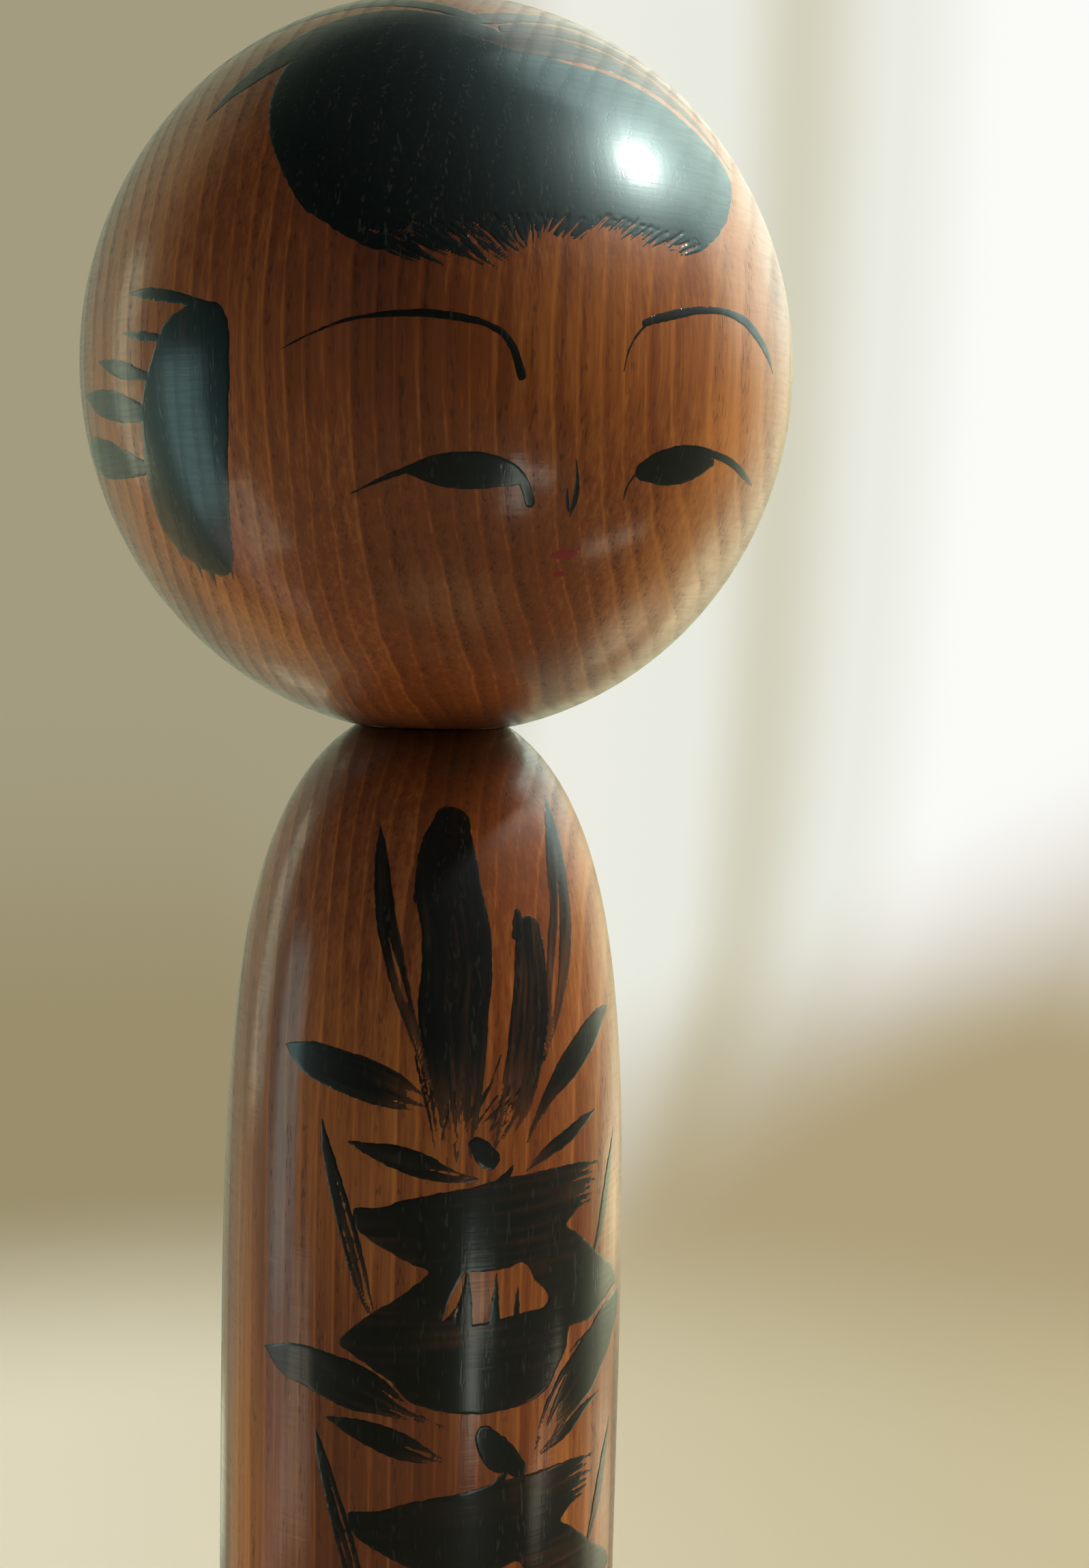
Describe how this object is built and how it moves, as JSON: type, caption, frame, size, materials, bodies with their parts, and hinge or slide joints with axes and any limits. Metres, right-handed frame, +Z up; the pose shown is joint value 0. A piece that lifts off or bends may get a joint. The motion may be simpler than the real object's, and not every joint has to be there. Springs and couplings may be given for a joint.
{
  "type": "kokeshi doll",
  "caption": "Turned wooden kokeshi doll: a round head that turns on a slim bullet-shouldered body, with a peg held in an undercut socket.",
  "frame": {"origin": "centre of the foot, on the surface that the doll stands on", "axes": "+Z up along the turning axis, from the foot to the crown; the face and the front of the body look along -Y; +X is to the doll's left"},
  "size_m": [0.093, 0.093, 0.303],
  "materials": {
    "body_wood": "red-brown stained, glossy varnish",
    "head_wood": "red-brown stained, glossy varnish",
    "peg_wood": "bare, waxed where it turns",
    "black_ink": "brushed black ink under the varnish",
    "red_ink": "brushed red ink under the varnish"
  },
  "bodies": {
    "body": {"body": "body_wood"},
    "head": {"head": "head_wood", "neck_peg": "peg_wood"}
  },
  "joints": [
    {"name": "head_turn", "type": "hinge", "parent": "body", "child": "head", "pos_m": [0, 0, 0.209], "axis": [0, 0, 1], "continuous": true}
  ]
}
